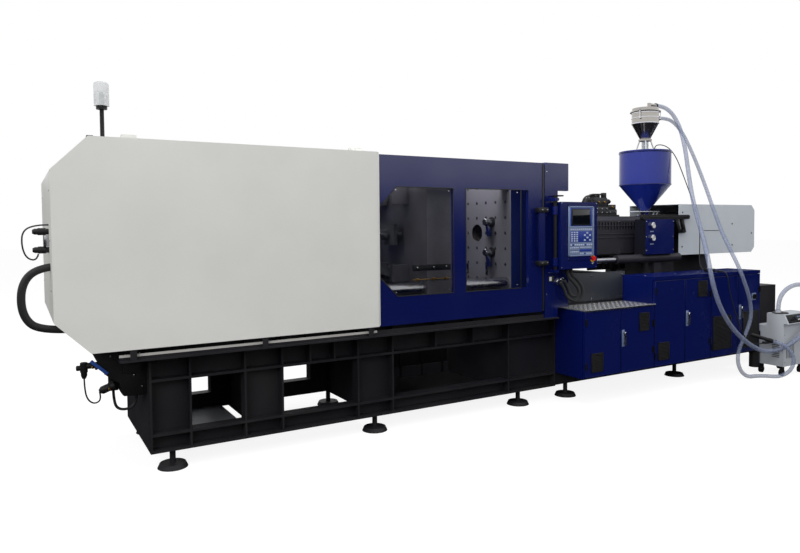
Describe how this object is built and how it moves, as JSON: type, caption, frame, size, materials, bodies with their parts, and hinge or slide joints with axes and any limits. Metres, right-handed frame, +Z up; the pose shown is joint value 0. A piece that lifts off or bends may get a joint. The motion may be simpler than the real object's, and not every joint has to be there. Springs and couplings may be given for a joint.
{
  "type": "injection moulding machine",
  "caption": "Toggle-clamp plastic injection moulding machine with sliding safety doors, hinged control panel, hopper with vacuum receiver and floor-standing loader.",
  "frame": {"origin": "centre of the footprint on the floor", "axes": "+X from the clamp end to the injection end, +Y away from the operator, +Z up"},
  "size_m": [7.82, 1.964, 2.974],
  "materials": {
    "bed_black": "satin",
    "casting_grey": "satin",
    "casting_dark": "satin",
    "ground_steel": "polished",
    "dark_steel": "satin",
    "hood_grey": "satin",
    "loader_grey": "satin",
    "panel_blue": "gloss",
    "pane_clear": "clear",
    "tread_aluminium": "ribbed",
    "stainless": "polished",
    "band_steel": "satin",
    "keypad_grey": "satin",
    "screen_black": "matt",
    "stop_red": "gloss",
    "switch_black": "matt",
    "hose_black": "matt",
    "hose_clear": "translucent ribbed"
  },
  "bodies": {
    "frame": {"clamp_bed": "bed_black", "injection_bed": "bed_black", "levelling_feet": "bed_black", "fixed_platen": "casting_grey", "rear_platen": "casting_grey", "tie_bars": "ground_steel", "clamp_cylinder": "dark_steel", "crosshead_guide_rods": "ground_steel", "hood": "hood_grey", "beacon_post": "screen_black", "beacon_lens": "pane_clear", "door_rails": "ground_steel", "front_fixed_panel": "panel_blue", "rear_fixed_panel": "panel_blue", "step_cabinet": "panel_blue", "tread_plate": "tread_aluminium", "control_cabinet": "panel_blue", "traverse_rods": "ground_steel", "clamp_hydraulics": "dark_steel", "hinge_post": "screen_black", "loader_unit": "loader_grey", "vacuum_hose": "hose_clear", "material_hose": "hose_clear", "suction_lance": "screen_black", "loader_cable": "hose_black", "panel_conduits": "hose_black"},
    "moving_platen": {"moving_platen": "casting_grey", "ejector_cylinder": "ground_steel"},
    "ejector": {"ejector_plate": "casting_grey"},
    "crosshead": {"crosshead": "casting_grey"},
    "upper_rear_links": {"upper_rear_links": "casting_grey"},
    "lower_rear_links": {"lower_rear_links": "casting_grey"},
    "upper_front_links": {"upper_front_links": "casting_grey"},
    "lower_front_links": {"lower_front_links": "casting_grey"},
    "front_door": {"front_safety_door": "panel_blue", "front_door_windows": "pane_clear", "front_door_handle": "panel_blue"},
    "rear_door": {"rear_safety_door": "panel_blue"},
    "control_panel": {"control_panel": "keypad_grey", "panel_screen": "screen_black"},
    "emergency_stop": {"emergency_stop": "stop_red"},
    "step_left_door": {"step_left_door": "panel_blue"},
    "step_right_door": {"step_right_door": "panel_blue"},
    "cabinet_door_a": {"cabinet_door_a": "panel_blue"},
    "cabinet_door_b": {"cabinet_door_b": "panel_blue"},
    "cabinet_door_c": {"cabinet_door_c": "panel_blue"},
    "cabinet_door_d": {"cabinet_door_d": "panel_blue"},
    "main_switch": {"main_switch": "switch_black"},
    "injection_carriage": {"injection_carriage": "casting_dark", "barrel": "ground_steel", "heater_bands": "band_steel", "barrel_guard": "casting_dark", "gauge_box": "panel_blue", "cable_tray": "screen_black", "injection_drive": "dark_steel", "injection_cover": "hood_grey", "hopper": "panel_blue", "sight_glass": "pane_clear", "receiver": "stainless", "valve_manifold": "dark_steel"}
  },
  "joints": [
    {"name": "platen_slide", "type": "slide", "parent": "frame", "child": "moving_platen", "axis": [1, 0, 0], "range_m": [-0.1, 0.3]},
    {"name": "crosshead_slide", "type": "slide", "parent": "frame", "child": "crosshead", "axis": [1, 0, 0], "range_m": [-0.131, 0.391]},
    {"name": "upper_rear_pivot", "type": "hinge", "parent": "frame", "child": "upper_rear_links", "pos_m": [-1.975, 0.233, 2.065], "axis": [0, 1, 0], "range_deg": [-42.5, 14.3]},
    {"name": "upper_front_pivot", "type": "hinge", "parent": "moving_platen", "child": "upper_front_links", "pos_m": [-1.11, 0.233, 1.875], "axis": [0, 1, 0], "range_deg": [-3.8, 11]},
    {"name": "lower_rear_pivot", "type": "hinge", "parent": "frame", "child": "lower_rear_links", "pos_m": [-1.975, 0.233, 1.025], "axis": [0, 1, 0], "range_deg": [-14.3, 42.5]},
    {"name": "lower_front_pivot", "type": "hinge", "parent": "moving_platen", "child": "lower_front_links", "pos_m": [-1.11, 0.233, 1.215], "axis": [0, 1, 0], "range_deg": [-11, 3.8]},
    {"name": "ejector_slide", "type": "slide", "parent": "moving_platen", "child": "ejector", "axis": [1, 0, 0], "range_m": [-0.04, 0.05]},
    {"name": "front_door_slide", "type": "slide", "parent": "frame", "child": "front_door", "axis": [-1, 0, 0], "range_m": [0, 1.4]},
    {"name": "rear_door_slide", "type": "slide", "parent": "frame", "child": "rear_door", "axis": [-1, 0, 0], "range_m": [0, 1.4]},
    {"name": "panel_swivel", "type": "hinge", "parent": "frame", "child": "control_panel", "pos_m": [0.166, -0.517, 1.225], "axis": [0, 0, 1], "range_deg": [-80, 0], "deforming": ["panel_conduits"]},
    {"name": "stop_push", "type": "slide", "parent": "control_panel", "child": "emergency_stop", "axis": [0, 1, 0], "range_m": [0, 0.006], "stiffness_N_per_m": 400},
    {"name": "step_left_door_hinge", "type": "hinge", "parent": "frame", "child": "step_left_door", "pos_m": [0.398, -0.654, 0.25], "axis": [0, 0, 1], "range_deg": [-105, 0]},
    {"name": "step_right_door_hinge", "type": "hinge", "parent": "frame", "child": "step_right_door", "pos_m": [1.285, -0.654, 0.25], "axis": [0, 0, 1], "range_deg": [0, 105]},
    {"name": "cabinet_door_a_hinge", "type": "hinge", "parent": "frame", "child": "cabinet_door_a", "pos_m": [1.307, -0.654, 0.25], "axis": [0, 0, 1], "range_deg": [-105, 0]},
    {"name": "cabinet_door_b_hinge", "type": "hinge", "parent": "frame", "child": "cabinet_door_b", "pos_m": [2.135, -0.654, 0.25], "axis": [0, 0, 1], "range_deg": [0, 105]},
    {"name": "cabinet_door_c_hinge", "type": "hinge", "parent": "frame", "child": "cabinet_door_c", "pos_m": [2.157, -0.654, 0.25], "axis": [0, 0, 1], "range_deg": [-105, 0]},
    {"name": "cabinet_door_d_hinge", "type": "hinge", "parent": "frame", "child": "cabinet_door_d", "pos_m": [2.965, -0.654, 0.25], "axis": [0, 0, 1], "range_deg": [0, 6]},
    {"name": "switch_turn", "type": "hinge", "parent": "cabinet_door_d", "child": "main_switch", "pos_m": [2.864, -0.647, 0.838], "axis": [0, -1, 0], "range_deg": [-90, 0]},
    {"name": "carriage_slide", "type": "slide", "parent": "frame", "child": "injection_carriage", "axis": [1, 0, 0], "range_m": [0, 0.4], "deforming": ["vacuum_hose", "material_hose", "loader_cable"]}
  ],
  "couplings": [
    {"joint": "crosshead_slide", "follows": "platen_slide", "ratio": 1.3},
    {"joint": "upper_rear_pivot", "follows": "platen_slide", "rad_per_m": -2.4609},
    {"joint": "upper_front_pivot", "follows": "platen_slide", "rad_per_m": 0.62832},
    {"joint": "lower_rear_pivot", "follows": "platen_slide", "rad_per_m": 2.4609},
    {"joint": "lower_front_pivot", "follows": "platen_slide", "rad_per_m": -0.62832}
  ]
}
